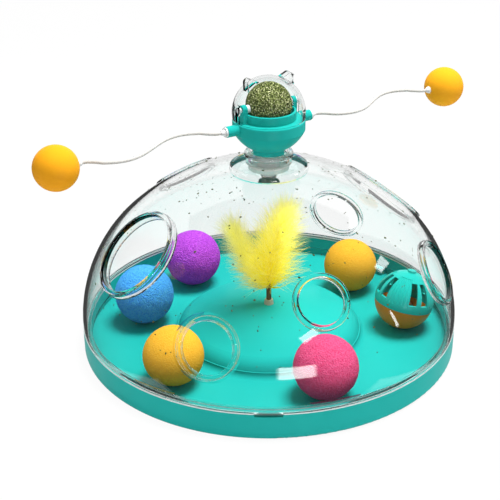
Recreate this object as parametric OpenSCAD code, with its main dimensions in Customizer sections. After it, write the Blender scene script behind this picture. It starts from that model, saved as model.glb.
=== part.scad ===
// Cat puzzle feeder: a round tray of loose balls under a clear dome with paw holes.
// A head that spins on top of the dome carries a catnip ball, its cat-ear cover
// and two springy arms with a ball at the end of each.
// Millimetres, +Z up, origin on the ground under the middle of the tray.

/* [Tray] */
// Outside radius of the tray and of the dome on it
base_r = 130; // [122:1:142]
// Height of the tray wall above the ground
base_h = 18.5; // [17:0.5:24]
// Thickness of the tray wall
base_wall = 2.6; // [2:0.1:3.4]
// Thickness of the tray floor and of the island
floor_t = 2.4; // [2:0.1:3]
// Radius rounded onto the bottom edge of the tray
base_edge_r = 2; // [1:0.25:2.4]
// Radius of the raised island in the middle of the tray
island_r = 65; // [58:1:68]
// Height of the island above the floor
island_h = 21; // [18:0.5:26]
// Radius of the island's shoulder
island_shoulder_r = 12; // [9:0.5:15]
// Radius of the fillet round the island's foot
island_fillet_r = 4; // [2:0.5:6]
// Width of the finger notch in the front of the rim
notch_w = 17.5; // [12:0.5:24]
// Depth of the finger notch
notch_depth = 1.6; // [1:0.1:2.4]
// Width of each tab that the dome's skirt stands on
seat_tab_w = 20; // [12:1:28]
// Thickness of each seat tab
seat_tab_t = 4.2; // [4:0.1:5]
// Direction of the first seat tab
seat_tab_az = 138; // [100:1:170]

/* [Foot pads] */
// Number of foot pads
pad_count = 4; // [3:1:8]
// Radius of a foot pad
pad_r = 9; // [6:0.5:12]
// Thickness of a foot pad
pad_t = 1.6; // [1.2:0.1:2]
// How far a foot pad stands below the tray
pad_proud = 0.6; // [0.4:0.1:1]
// Distance of the foot pads from the middle
pad_circle_r = 104; // [90:1:112]

/* [Dome] */
// Height of the dome above the tray rim
dome_h = 110.5; // [104:0.5:120]
// Radius of the dome's shoulder
dome_shoulder_r = 98; // [92:0.5:102]
// Wall thickness of the dome
dome_wall = 2.4; // [2:0.1:3]
// Depth of the skirt that drops inside the tray wall
skirt_depth = 9.5; // [7:0.5:11]
// Thickness of the skirt
skirt_t = 2.2; // [1.6:0.1:2.8]
// Height of the step that joins the skirt to the dome
skirt_step_h = 2.5; // [2:0.1:4]
// Clear radius of the two large paw holes
large_hole_r = 28; // [24:0.5:30]
// Clear radius of the three middle paw holes
middle_hole_r = 19; // [16:0.5:22]
// Clear radius of the front paw hole at the left
front_hole_r = 16.5; // [13:0.5:17.5]
// Clear radius of the small paw hole at the right of it
small_hole_r = 14.5; // [12:0.5:17]
// Thickness of the collar round each paw hole
collar_t = 3.4; // [2.6:0.1:4]
// Depth of the collar round a hole of no size at all
collar_least_depth = 4; // [3.8:0.1:6]
// Depth that a collar gains with each millimetre of the hole's radius
collar_depth_gain = 0.11; // [0.1:0.01:0.14]
// Height that a collar stands above the dome
collar_proud = 1.4; // [1.2:0.1:2]
// Radius rounded onto the collar's edges
collar_edge_r = 0.9; // [0.4:0.1:1]

/* [Hub and socket] */
// Radius of the low round hub on top of the dome
hub_r = 26.5; // [23:0.5:30]
// Height of the hub above the dome's crown
hub_h = 2; // [1:0.1:4]
// Radius rounded onto the hub's edge
hub_edge_r = 3.6; // [3.2:0.1:4.5]
// Outside radius of the bearing cup
cup_r = 13.7; // [12:0.1:15]
// Wall thickness of the bearing cup
cup_wall = 1.7; // [1.4:0.1:2.2]
// Depth of the bearing cup below the hub's top
cup_depth = 4; // [3.6:0.1:8]
// Thickness of the cup's floor
cup_floor_t = 2.2; // [1.6:0.1:3]
// Radius of the neck under the cup
neck_r = 6; // [5.4:0.1:8]
// Length of that neck
neck_l = 5; // [3:0.1:7]
// Outside radius of the thin ring that seats the cup on the hub
seat_ring_r = 15.2; // [14.8:0.1:16]
// Thickness of that ring
seat_ring_t = 1.2; // [0.8:0.1:2]
// Outside radius of the flange that the head turns on
flange_r = 16.3; // [15.6:0.1:18]
// Thickness of that flange
flange_h = 3.6; // [2.6:0.1:4.4]
// Height of the flange's top above the hub
flange_rise = 8.2; // [6:0.1:9]

/* [Spindle] */
// Radius of the spindle
spindle_r = 3.9; // [3:0.1:5]
// Radius of the spindle's shoulder, which stands on the cup's floor
shoulder_r = 7.5; // [6:0.1:9]
// Depth of the spindle in the stem
spindle_hold = 9; // [6:0.5:12]
// Extra radius of the cap under the cup
cap_extra = 1.3; // [0.8:0.1:1.8]
// Length of the cap
cap_l = 4; // [2.4:0.1:5]
// Thickness of the cap's end
cap_end_t = 1.2; // [0.8:0.1:1.6]
// Width of the slot across the cap's end
cap_slot_w = 1.4; // [1:0.1:2]

/* [Head] */
// Radius of the head at its shoulder
head_r = 24; // [23:0.25:26]
// Height of the head from the stem's end to the shoulder
head_h = 25; // [23:0.1:27]
// Radius of the stem where it meets the cup
stem_r = 10.3; // [9:0.1:11.5]
// Depth of the stem's end in the cup's flange
stem_drop = 2.5; // [1:0.1:4]
// Radius of the bowl's round side
bowl_round_r = 26.3; // [25:0.1:28]
// Height of that round's centre above the shoulder
bowl_round_rise = 3.3; // [2:0.1:5]
// Radius rounded onto the shoulder's edge
shoulder_edge_r = 1.2; // [0.6:0.1:2]
// Outside radius of the collar round the catnip ball
bowl_collar_r = 18; // [17.9:0.1:19]
// Height of that collar above the shoulder
bowl_collar_h = 5.8; // [4:0.1:7]
// Radius rounded onto the collar's edge
bowl_collar_edge_r = 0.5; // [0.3:0.1:0.6]
// Gap between the catnip ball and the bowl
bowl_gap = 1.2; // [1:0.1:1.6]
// Direction of the two arms and of the axle
arm_az = 32; // [0:1:60]
// Radius of the tubes that hold the arms
tube_r = 3.6; // [3.2:0.1:4]
// Distance from the middle to the end of a tube
tube_end = 32; // [29:0.5:36]
// Radius of the bore in a tube
tube_bore_r = 2.2; // [1.8:0.1:2.6]
// Depth of the bore in a tube
tube_bore_depth = 7; // [5:0.5:10]
// Width of the posts that carry the axle
post_w = 6; // [5:0.25:7]
// Thickness of the posts
post_t = 2.4; // [2:0.1:2.8]

/* [Catnip ball] */
// Diameter of the catnip ball
catnip_d = 31.4; // [29:0.1:31.6]
// Height of the ball's centre above the shoulder
catnip_rise = 8.8; // [8:0.1:11]
// Radius of the axle
axle_r = 1.6; // [1.2:0.1:1.9]
// Radius of the white spacers beside the ball
spacer_r = 2.6; // [2.2:0.1:3]

/* [Cover] */
// Outside radius of the clear cover
cover_r = 24.2; // [23.8:0.1:25]
// Height of the cover's centre above the shoulder
cover_rise = 3.9; // [3:0.1:6]
// Wall thickness of the cover
cover_wall = 1.6; // [1.2:0.1:2]
// Thickness of the frame round each clip notch
clip_frame = 1.8; // [1.2:0.1:2.4]
// Length of a hollow ear beyond the cover's wall
ear_l = 5.2; // [4:0.2:8]
// Radius of an ear's round tip
ear_tip_r = 2.6; // [2.2:0.1:3.6]
// Slope of an ear's sides, measured from its middle line
ear_side_angle = 31; // [18:1:36]
// Thickness of an ear
ear_t = 6; // [4.5:0.1:7]
// Wall thickness of an ear
ear_wall = 1.3; // [1:0.1:1.6]
// Lean of an ear from straight up
ear_lean = 34; // [28:1:42]

/* [Arms] */
// Distance from the middle to the centre of an arm's ball
arm_reach = 148; // [138:1:158]
// Diameter of the ball on an arm
arm_ball_d = 28; // [24:0.5:32]
// Radius of the springy wire
wire_r = 1.05; // [0.8:0.05:1.3]
// Sideways swing of the wire's S bend
wire_swing = 11; // [6:0.5:14]
// Radius of the plug's flange
plug_flange_r = 3.2; // [2.8:0.1:3.5]
// Length of the plug's nose outside the tube
plug_nose_l = 4; // [3:0.25:5]
// Radius of the ferrule at the arm's ball
ferrule_r = 2.5; // [2:0.1:3]
// Length of that ferrule
ferrule_l = 4.2; // [3:0.1:5]
// Depth of the pocket that the ferrule sits in
pocket_depth = 1.8; // [1.2:0.1:2.4]

/* [Loose balls] */
// Diameter of the foam balls
foam_ball_d = 42.5; // [38:0.5:43]
// Diameter of the smooth balls
smooth_ball_d = 39.6; // [36:0.2:42]
// Direction of the purple foam ball
purple_az = 129; // [124:1:131]
// Direction of the blue foam ball
blue_az = 172; // [169:1:176]
// How far the blue foam ball lies inside the middle of the track
blue_inset = 2.5; // [0:0.5:4]
// Direction of the pink foam ball
pink_az = 293; // [280:1:300]
// Direction of the smooth ball at the back
back_ball_az = 45; // [44:1:54]
// Direction of the smooth ball at the front
front_ball_az = 228; // [220:1:238]
// How far the back smooth ball lies inside the middle of the track
back_ball_inset = 5; // [0:0.5:6]

/* [Bell ball] */
// Diameter of the bell ball
bell_ball_d = 42; // [38:0.5:43]
// Wall thickness of the bell ball
bell_ball_wall = 1.8; // [1.4:0.1:2.4]
// Direction of the bell ball
bell_ball_az = 3; // [0:1:4]
// How far the bell ball lies outside the middle of the track
bell_ball_outset = 4; // [0:0.5:5]
// Lean of the bell ball's pole away from upright
bell_ball_lean = 14; // [0:1:20]
// Direction that the pole leans in
bell_ball_lean_az = 30; // [0:1:90]
// Turn of the bell ball round its pole
bell_ball_turn = -11; // [-45:1:45]
// Distance of the seam below the ball's middle
seam_drop = 3.2; // [2:0.1:5]
// Number of pairs of slots round the upper shell
slot_pairs = 4; // [3:1:5]
// Width of a slot at its foot
slot_w = 6; // [4:0.1:6.4]
// Number of flutes on each panel between the slots
flute_count = 7; // [3:1:8]
// Radius of a flute
flute_r = 0.6; // [0.5:0.05:0.9]
// Diameter of the jingle bell
bell_d = 19; // [16:0.5:22]
// Wall thickness of the jingle bell
bell_wall = 0.8; // [0.6:0.05:1.2]
// Diameter of the pellet in the bell
pellet_d = 5; // [4:0.25:6]

/* [Feather] */
// Radius of the feather's cream holder
holder_r = 3.4; // [3:0.1:4]
// Height of the holder above the island
holder_h = 3.4; // [2.5:0.1:5]
// Radius of the holder's spigot
spigot_r = 2.5; // [2:0.1:2.8]
// Length of the holder's spigot
spigot_l = 6; // [4:0.5:7]
// Radius of the brown stem
quill_r = 1.8; // [1.4:0.1:2.2]
// Length of the brown stem
quill_l = 17; // [12:0.5:22]
// Depth of the stem's round end in the holder
quill_seat = 1.3; // [1:0.1:1.4]
// Distance from the stem's foot to the root of the plumes
plume_start = 11; // [8:0.5:12]
// Length of the left plume
left_plume_l = 67; // [55:1:72]
// Lean of the left plume
left_plume_lean = 27; // [18:1:32]
// Greatest radius of the left plume
left_plume_r = 14; // [9:0.5:16]
// Length of the right plume
right_plume_l = 74; // [60:1:78]
// Lean of the right plume
right_plume_lean = 11; // [6:1:16]
// Greatest radius of the right plume
right_plume_r = 18; // [11:0.5:19]

/* [Hidden] */
$fn = 64;
// Gap between parts that slide or lift away
slip = 0.3;
// Running clearance of a shaft in its bore
run = 0.06;
// Overlap that keeps a cut clear of a face
eps = 0.05;
// Length of a cut that passes right through
far = 80;

floor_z = pad_proud + floor_t;
island_top_z = floor_z + island_h;
base_inner_r = base_r - base_wall;
skirt_r = base_inner_r - slip;
skirt_inner_r = skirt_r - skirt_t;
skirt_z = base_h - skirt_depth;
seat_tab_z = skirt_z - slip;
track_r = (island_r + skirt_inner_r) / 2 - 2.5;
boss_r = spigot_r + 2.4;
boss_l = spigot_l + 1.5;

// Paw holes: direction, tilt of the hole's axis above level, clear radius
paw_holes = [
  [209, 46, large_hole_r],
  [30, 48, large_hole_r],
  [287.5, 40, small_hole_r],
  [252, 23, front_hole_r],
  [344, 29, middle_hole_r],
  [136, 54, middle_hole_r],
  [64, 16, middle_hole_r]
];

crown_z = base_h + dome_h;
hub_z = crown_z + hub_h;
hub_bore_r = cup_r + slip / 2;
cup_z = hub_z - cup_depth;
flange_z = hub_z + flange_rise;
cap_top_z = cup_z - neck_l - slip;
spindle_seat_z = cup_z + cup_floor_t + slip / 2;
cup_inner_r = cup_r - cup_wall;
flange_edge_r = flange_h / 2 - 0.3;

stem_z = flange_z - stem_drop;
shoulder_z = stem_z + head_h;
catnip_z = shoulder_z + catnip_rise;
catnip_r = catnip_d / 2;
bowl_r = catnip_r + bowl_gap;
arm_z = shoulder_z - tube_r - slip;
post_in = bowl_collar_r;
post_out = post_in + post_t;
cover_z = shoulder_z + cover_rise;
cover_in_r = cover_r - cover_wall;
clip_r = axle_r + slip;
axle_end = cover_r - 0.8;
spacer_start = catnip_r - 0.8;

plug_end = tube_end + plug_nose_l;
wire_start = plug_end + slip + 0.1;
ball_near = arm_reach - arm_ball_d / 2;
wire_end = ball_near + pocket_depth - ferrule_l;
wire_rings = 36;
wire_sides = 8;

bell_ball_r = bell_ball_d / 2;
bell_ball_in = bell_ball_r - bell_ball_wall;
bell_rest_z = slip + bell_d / 2 - bell_ball_in;
pellet_rest_z = bell_rest_z - bell_d / 2 + bell_wall + slip + pellet_d / 2;

holder_z = island_top_z + holder_h;
quill_z = holder_z - quill_seat;
quill_pivot_z = quill_z + quill_r;
plume_z = quill_z + plume_start;

// Radius of the crown arc that meets a shoulder arc of radius s at a tangent,
// on an oval of half width a and height b
function crown_radius(a, b, s) = ((a - s) * (a - s) + b * b - s * s) / (2 * (b - s));

// Tilt of the line on which the crown arc and the shoulder arc meet
function oval_join(a, b, s) = atan2(crown_radius(a, b, s) - b, a - s);

// Point of the oval whose outward normal has the given tilt
function oval_point(a, b, s, tilt) =
  let (c = crown_radius(a, b, s))
  tilt < oval_join(a, b, s)
    ? [a - s + s * cos(tilt), s * sin(tilt)]
    : [c * cos(tilt), b - c + c * sin(tilt)];

// Drop of the oval's surface at a distance d from a point whose normal has that tilt
function oval_sag(a, b, s, tilt, d) =
  let (ring = oval_point(a, b, s, tilt)[0] / cos(tilt))
  ring - sqrt(ring * ring - d * d);

// Quarter of an oval dome, standing on the X axis: a crown arc and a shoulder arc
module oval_quarter(a, b, s) {
  c = crown_radius(a, b, s);
  join = oval_join(a, b, s);
  intersection() {
    square([a, b]);
    union() {
      translate([a - s, 0]) circle(s);
      intersection() {
        translate([0, b - c]) circle(c);
        polygon([
          [0, b - c],
          [0, b - c] + 2 * c * [cos(join), sin(join)],
          [0, b + c]
        ]);
      }
    }
  }
}

// Piece to cut off the outer top corner of a turned profile, so that the edge is round
module top_edge_cut(x, z, r) {
  translate([x - r, z - r])
    difference() {
      square(r + eps);
      circle(r);
    }
}

// Bar with rounded corners, standing on the X axis
module round_bar(w, h, r) {
  translate([-w / 2, r]) square([w, h - 2 * r]);
  translate([r - w / 2, 0]) square([w - 2 * r, h]);
  for (x = [r - w / 2, w / 2 - r], y = [r, h - r])
    translate([x, y]) circle(r);
}

module tray_profile() {
  difference() {
    union() {
      translate([0, floor_z]) oval_quarter(island_r, island_h, island_shoulder_r);
      translate([0, pad_proud]) square([base_inner_r, floor_t]);
      difference() {
        translate([island_r - 1, floor_z - eps]) square([island_fillet_r + 1, island_fillet_r + eps]);
        translate([island_r + island_fillet_r, floor_z + island_fillet_r]) circle(island_fillet_r);
      }
      difference() {
        translate([base_inner_r - 1, pad_proud]) square([base_wall + 1, base_h - pad_proud]);
        translate([base_inner_r - 1 - eps, floor_z]) square([1 + eps, base_h]);
        difference() {
          translate([base_r - base_edge_r, pad_proud]) square([base_edge_r, base_edge_r]);
          translate([base_r - base_edge_r, pad_proud + base_edge_r]) circle(base_edge_r);
        }
      }
    }
    translate([0, pad_proud - eps])
      oval_quarter(island_r - floor_t, island_h + eps, island_shoulder_r - floor_t);
  }
  translate([spigot_r, island_top_z - boss_l]) square([boss_r - spigot_r, boss_l - 1]);
}

module base_tray() {
  color("turquoise") {
    difference() {
      rotate_extrude() tray_profile();
      translate([0, 0, island_top_z - boss_l - far / 2]) cylinder(r = spigot_r, h = far);
      translate([-notch_w / 2, -base_r - 1, base_h - notch_depth]) cube([notch_w, base_wall + 2, far]);
      for (i = [0 : pad_count - 1])
        rotate(45 + i * 360 / pad_count)
          translate([pad_circle_r, 0, 0]) cylinder(r = pad_r, h = pad_t);
    }
    for (i = [0 : 3])
      rotate(seat_tab_az + 90 * i)
        intersection() {
          translate([skirt_inner_r - seat_tab_t, -seat_tab_w / 2, floor_z - eps])
            cube([far, seat_tab_w, seat_tab_z - floor_z + eps]);
          cylinder(r = base_inner_r + eps, h = far);
        }
  }
}

module foot_pads() {
  color("dimgray")
    for (i = [0 : pad_count - 1])
      rotate(45 + i * 360 / pad_count)
        translate([pad_circle_r, 0, 0]) cylinder(r = pad_r, h = pad_t);
}

module feather_holder() {
  color("cornsilk")
    difference() {
      union() {
        translate([0, 0, island_top_z]) cylinder(r1 = holder_r, r2 = holder_r - 0.6, h = holder_h);
        translate([0, 0, island_top_z - spigot_l]) cylinder(r = spigot_r, h = spigot_l + eps);
      }
      translate([0, 0, quill_pivot_z]) sphere(quill_r + run);
    }
}

// Stem with a round foot, which rocks in the holder's socket
module feather_stem() {
  color("saddlebrown")
    translate([0, 0, quill_pivot_z])
      rotate_extrude() {
        square([quill_r, quill_l - quill_r]);
        intersection() {
          circle(quill_r);
          translate([0, -quill_r]) square([quill_r, quill_r + eps]);
        }
      }
}

// Soft plume: a spindle that is full below the middle and rounds off at the tip
module plume(l, r, lean) {
  steps = 12;
  translate([0, 0, plume_z])
    rotate([0, lean, 0])
      rotate_extrude()
        polygon(concat(
          [[0, 0]],
          [for (i = [1 : steps - 1])
            let (t = i / steps)
            [r * pow(sin(180 * pow(t, 0.85)), 0.62), l * t]],
          [[0, l]]
        ));
}

module plume_left() {
  color("yellow") plume(left_plume_l, left_plume_r, -left_plume_lean);
}

module plume_right() {
  color("gold") plume(right_plume_l, right_plume_r, right_plume_lean);
}

// Half of the hub with its round edge
module hub_outline() {
  difference() {
    square([hub_r, dome_h + hub_h]);
    top_edge_cut(hub_r, dome_h + hub_h, hub_edge_r);
  }
}

module dome_profile() {
  translate([0, base_h])
    difference() {
      union() {
        oval_quarter(base_r, dome_h, dome_shoulder_r);
        hub_outline();
      }
      difference() {
        oval_quarter(base_r - dome_wall, dome_h - dome_wall, dome_shoulder_r - dome_wall);
        translate([skirt_inner_r, 0]) square([base_r, skirt_step_h]);
      }
      square([hub_bore_r, far * 2]);
    }
  translate([skirt_inner_r, skirt_z]) square([skirt_t, skirt_depth + eps]);
}

// Places its children on the dome, with +Z along the outward normal
module on_dome(az, tilt) {
  p = oval_point(base_r, dome_h, dome_shoulder_r, tilt);
  rotate(az) translate([p[0], 0, base_h + p[1]]) rotate([0, 90 - tilt, 0]) children();
}

// Top of a hole's collar, measured along the hole's axis from the dome's surface
function collar_top(hole) =
  collar_proud - oval_sag(base_r, dome_h, dome_shoulder_r, hole[1], hole[2] + collar_t);

function collar_depth(hole) = collar_least_depth + collar_depth_gain * hole[2];

module dome_shell() {
  color("whitesmoke", 0.3) {
    difference() {
      rotate_extrude() dome_profile();
      for (hole = paw_holes)
        on_dome(hole[0], hole[1])
          translate([0, 0, -far / 2]) cylinder(r = hole[2] + collar_t / 2, h = far);
    }
    for (hole = paw_holes)
      on_dome(hole[0], hole[1])
        translate([0, 0, collar_top(hole) - collar_depth(hole)])
          rotate_extrude()
            translate([hole[2] + collar_t / 2, 0]) round_bar(collar_t, collar_depth(hole), collar_edge_r);
  }
}

module bearing_cup() {
  color("gainsboro", 0.5)
    rotate_extrude() {
      translate([cup_inner_r, cup_z + eps])
        square([cup_wall, flange_z - flange_h / 2 - cup_z]);
      translate([spindle_r + run, cup_z]) square([cup_r - spindle_r - run, cup_floor_t]);
      translate([spindle_r + run, cup_z - neck_l]) square([neck_r - spindle_r - run, neck_l + eps]);
      translate([cup_inner_r, hub_z]) square([seat_ring_r - cup_inner_r, seat_ring_t]);
      translate([(cup_inner_r + flange_r) / 2, flange_z - flange_h])
        round_bar(flange_r - cup_inner_r, flange_h, flange_edge_r);
    }
}

module head_profile() {
  difference() {
    union() {
      difference() {
        intersection() {
          translate([0, stem_z]) square([head_r, head_h]);
          translate([0, shoulder_z + bowl_round_rise]) circle(bowl_round_r);
        }
        top_edge_cut(head_r, shoulder_z, shoulder_edge_r);
      }
      translate([0, stem_z]) square([stem_r, head_h]);
      difference() {
        translate([0, stem_z + head_h / 2]) square([bowl_collar_r, head_h / 2 + bowl_collar_h]);
        top_edge_cut(bowl_collar_r, shoulder_z + bowl_collar_h, bowl_collar_edge_r);
      }
    }
    translate([0, catnip_z]) circle(bowl_r);
    translate([-far, stem_z - far]) square([far, far * 3]);
  }
}

// Places its children at the arm's height, with +X along the arm
module on_arm(side) {
  rotate(arm_az + (side > 0 ? 0 : 180)) translate([0, 0, arm_z]) children();
}

module head_bowl() {
  color("lightseagreen")
    difference() {
      union() {
        rotate_extrude() head_profile();
        for (side = [-1, 1]) {
          on_arm(side)
            translate([head_r - 4, 0, 0]) rotate([0, 90, 0]) cylinder(r = tube_r, h = tube_end - head_r + 4);
          rotate(arm_az + (side > 0 ? 0 : 180)) {
            translate([post_in - 0.6, -post_w / 2, shoulder_z - 1])
              cube([post_t + 0.6, post_w, catnip_rise + 1]);
            translate([post_in - 0.6, 0, catnip_z])
              rotate([0, 90, 0]) cylinder(r = post_w / 2, h = post_t + 0.6);
          }
        }
      }
      translate([0, 0, catnip_z]) sphere(bowl_r);
      rotate(arm_az)
        translate([-far / 2, 0, catnip_z]) rotate([0, 90, 0]) cylinder(r = axle_r + run, h = far);
      for (side = [-1, 1])
        on_arm(side)
          translate([tube_end - tube_bore_depth, 0, 0]) rotate([0, 90, 0]) cylinder(r = tube_bore_r, h = far);
      translate([0, 0, stem_z - 1]) cylinder(r = spindle_r, h = spindle_hold + 1);
    }
}

module head_spindle() {
  foot_z = cap_top_z - cap_l + cap_end_t;
  color("whitesmoke") {
    translate([0, 0, foot_z]) cylinder(r = spindle_r, h = stem_z + spindle_hold - foot_z);
    translate([0, 0, spindle_seat_z]) cylinder(r = shoulder_r, h = stem_z - spindle_seat_z);
  }
}

// Slotted cap pressed onto the spindle's foot, which keeps the head on the cup
module spindle_cap() {
  color("darkslategray")
    difference() {
      translate([0, 0, cap_top_z - cap_l])
        cylinder(r1 = spindle_r + cap_extra / 2, r2 = spindle_r + cap_extra, h = cap_l);
      translate([0, 0, cap_top_z - cap_l + cap_end_t]) cylinder(r = spindle_r, h = cap_l);
      translate([-far / 2, -cap_slot_w / 2, cap_top_z - cap_l - eps])
        cube([far, cap_slot_w, cap_end_t / 2 + eps]);
    }
}

module arm_plug(side) {
  color("white")
    on_arm(side)
      rotate([0, 90, 0]) {
        translate([0, 0, tube_end - tube_bore_depth + 1])
          cylinder(r = tube_bore_r, h = tube_bore_depth - 1 + eps);
        translate([0, 0, tube_end]) cylinder(r = plug_flange_r, h = 1.2);
        translate([0, 0, tube_end + 1.2 - eps])
          cylinder(r1 = tube_bore_r, r2 = wire_r + 0.25, h = plug_nose_l - 1.2 + eps);
      }
}

module arm_plug_left() { arm_plug(-1); }
module arm_plug_right() { arm_plug(1); }

// Sideways place of the wire's centre line at a distance x from the head's axis
function wire_side(x) =
  let (t = (x - wire_start) / (wire_end - wire_start))
  -wire_swing * sin(360 * t) * min(1, t * 9, (1 - t) * 9);

function wire_turn(x) = atan2(wire_side(x + 0.5) - wire_side(x - 0.5), 1);

// Ring of points round the centre line, square to it
function wire_ring(x, turn) = [
  for (k = [0 : wire_sides - 1])
    let (a = 360 * k / wire_sides)
    [x - wire_r * cos(a) * sin(turn), wire_side(x) + wire_r * cos(a) * cos(turn), wire_r * sin(a)]
];

// Springy coated wire in an S bend that lies level
module arm_wire(side) {
  points = [
    for (i = [0 : wire_rings])
      let (x = wire_start + (wire_end - wire_start) * i / wire_rings)
      each wire_ring(x, i == 0 || i == wire_rings ? 0 : wire_turn(x))
  ];
  faces = [
    [for (k = [0 : wire_sides - 1]) k],
    for (i = [0 : wire_rings - 1], k = [0 : wire_sides - 1])
      let (a = i * wire_sides, b = a + wire_sides, n = (k + 1) % wire_sides)
      each [[a + k, b + k, b + n], [a + k, b + n, a + n]],
    [for (k = [wire_sides - 1 : -1 : 0]) wire_rings * wire_sides + k]
  ];
  color("ghostwhite") on_arm(side) polyhedron(points, faces);
}

module arm_wire_left() { arm_wire(-1); }
module arm_wire_right() { arm_wire(1); }

module ball_ferrule(side) {
  color("white")
    on_arm(side)
      translate([wire_end, 0, 0])
        rotate([0, 90, 0]) {
          cylinder(r1 = wire_r + 0.3, r2 = ferrule_r, h = ferrule_l - pocket_depth);
          translate([0, 0, ferrule_l - pocket_depth - eps]) cylinder(r = ferrule_r, h = pocket_depth + eps);
        }
}

module ball_ferrule_left() { ball_ferrule(-1); }
module ball_ferrule_right() { ball_ferrule(1); }

module arm_ball(side) {
  color("orange")
    on_arm(side)
      difference() {
        translate([arm_reach, 0, 0]) sphere(d = arm_ball_d);
        translate([wire_end, 0, 0]) rotate([0, 90, 0]) cylinder(r = ferrule_r, h = ferrule_l);
      }
}

module arm_ball_left() { arm_ball(-1); }
module arm_ball_right() { arm_ball(1); }

module catnip_ball() {
  color("darkolivegreen")
    difference() {
      translate([0, 0, catnip_z]) sphere(catnip_r);
      rotate(arm_az) translate([-far / 2, 0, catnip_z]) rotate([0, 90, 0]) cylinder(r = axle_r, h = far);
      for (side = [0, 180])
        rotate(arm_az + side)
          translate([spacer_start, 0, catnip_z]) rotate([0, 90, 0]) cylinder(r = spacer_r, h = far);
    }
}

module catnip_axle() {
  color("white")
    rotate(arm_az)
      translate([0, 0, catnip_z]) {
        translate([-axle_end, 0, 0]) rotate([0, 90, 0]) cylinder(r = axle_r, h = axle_end * 2);
        for (side = [0, 180])
          rotate(side)
            translate([spacer_start, 0, 0])
              rotate([0, 90, 0]) cylinder(r = spacer_r, h = post_in - 0.6 - slip - spacer_start);
      }
}

// Ear outline, or its hollow set in by a wall: a round tip with sloping sides,
// drawn from the cover's centre
module ear_outline(inset) {
  tip_r = ear_tip_r - inset;
  tip = cover_r + ear_l - ear_tip_r;
  root = cover_in_r - 2;
  side_x = tip_r * cos(ear_side_angle);
  side_y = tip + tip_r * sin(ear_side_angle);
  root_x = side_x + (side_y - root) * tan(ear_side_angle);
  translate([0, tip]) circle(tip_r);
  polygon([[-root_x, root], [-side_x, side_y], [side_x, side_y], [root_x, root]]);
}

// Ear plate of thickness t, leaning to one side of the cover
module ear_plate(side, inset, t) {
  rotate([90, 0, 0])
    translate([0, 0, -t / 2])
      linear_extrude(t) rotate(-side * ear_lean) ear_outline(inset);
}

module cat_ear_cover() {
  clip_z = catnip_z - cover_z;
  color("aliceblue", 0.35)
    translate([0, 0, cover_z])
      rotate(arm_az)
        difference() {
          union() {
            difference() {
              sphere(cover_r);
              sphere(cover_in_r);
            }
            for (side = [-1, 1]) {
              difference() {
                ear_plate(side, 0, ear_t);
                sphere(cover_in_r + cover_wall / 4);
              }
              intersection() {
                difference() {
                  sphere(cover_r + 0.7);
                  sphere(cover_in_r);
                }
                rotate([0, side * 90, 0])
                  translate([-side * clip_z, 0, 0]) cylinder(r = clip_r + clip_frame, h = far);
              }
            }
          }
          for (side = [-1, 1])
            ear_plate(side, ear_wall, ear_t - 2 * ear_wall);
          translate([-far, -far, -far * 2 - cover_rise + slip]) cube([far * 2, far * 2, far * 2]);
          rotate([0, 90, 0]) translate([-clip_z, 0, -far]) cylinder(r = clip_r, h = far * 2);
          translate([-far, -clip_r, clip_z - far]) cube([far * 2, clip_r * 2, far]);
        }
}

// Places a ball of diameter d on the tray's track
module on_track(az, d, shift = 0) {
  rotate(az) translate([track_r + shift, 0, floor_z + d / 2 + slip]) children();
}

module foam_ball_purple() {
  color("mediumorchid") on_track(purple_az, foam_ball_d) sphere(d = foam_ball_d);
}

module foam_ball_blue() {
  color("royalblue") on_track(blue_az, foam_ball_d, -blue_inset) sphere(d = foam_ball_d);
}

module foam_ball_pink() {
  color("hotpink") on_track(pink_az, foam_ball_d) sphere(d = foam_ball_d);
}

module smooth_ball_back() {
  color("orange") on_track(back_ball_az, smooth_ball_d, -back_ball_inset) sphere(d = smooth_ball_d);
}

module smooth_ball_front() {
  color("orange") on_track(front_ball_az, smooth_ball_d) sphere(d = smooth_ball_d);
}

// Places its children in the bell ball, with +Z along the leaning pole
module in_bell_ball() {
  on_track(bell_ball_az, bell_ball_d, bell_ball_outset)
    rotate(bell_ball_lean_az - bell_ball_az)
      rotate([0, bell_ball_lean, 0]) rotate(bell_ball_turn) children();
}

module bell_ball_shell() {
  difference() {
    sphere(bell_ball_r);
    sphere(bell_ball_in);
  }
}

module bell_cage_upper() {
  pair_step = 360 / slot_pairs;
  slot_turn = 13;
  slot_foot = 3;
  panel_turn = pair_step - 2 * slot_turn - 22;
  color("turquoise")
    in_bell_ball()
      difference() {
        union() {
          intersection() {
            bell_ball_shell();
            translate([-far, -far, slip / 2 - seam_drop]) cube([far * 2, far * 2, far]);
          }
          translate([0, 0, bell_ball_in + 0.4]) cylinder(r = 3, h = bell_ball_wall + 0.9);
        }
        for (i = [0 : slot_pairs - 1], turn = [-slot_turn, slot_turn])
          rotate(i * pair_step + turn)
            rotate([90, 0, 90])
              linear_extrude(far)
                polygon([
                  [-slot_w / 2, slot_foot],
                  [slot_w / 2, slot_foot],
                  [slot_w / 3, bell_ball_r * 0.8],
                  [-slot_w / 3, bell_ball_r * 0.8]
                ]);
        for (i = [0 : slot_pairs - 1], k = [0 : flute_count - 1])
          rotate((i + 0.5) * pair_step + panel_turn * (k / (flute_count - 1) - 0.5))
            rotate([90, 0, 0])
              rotate([0, 0, 4])
                rotate_extrude(angle = 58) translate([bell_ball_r + flute_r * 0.35, 0]) circle(flute_r);
      }
}

module bell_cage_lower() {
  color("orange")
    in_bell_ball()
      intersection() {
        bell_ball_shell();
        translate([-far, -far, -far - seam_drop]) cube([far * 2, far * 2, far]);
      }
}

module jingle_bell() {
  color("sienna")
    in_bell_ball()
      translate([0, 0, bell_rest_z])
        difference() {
          sphere(d = bell_d);
          sphere(d = bell_d - 2 * bell_wall);
          translate([-far / 2, -0.9, -far]) cube([far, 1.8, far]);
        }
}

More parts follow.
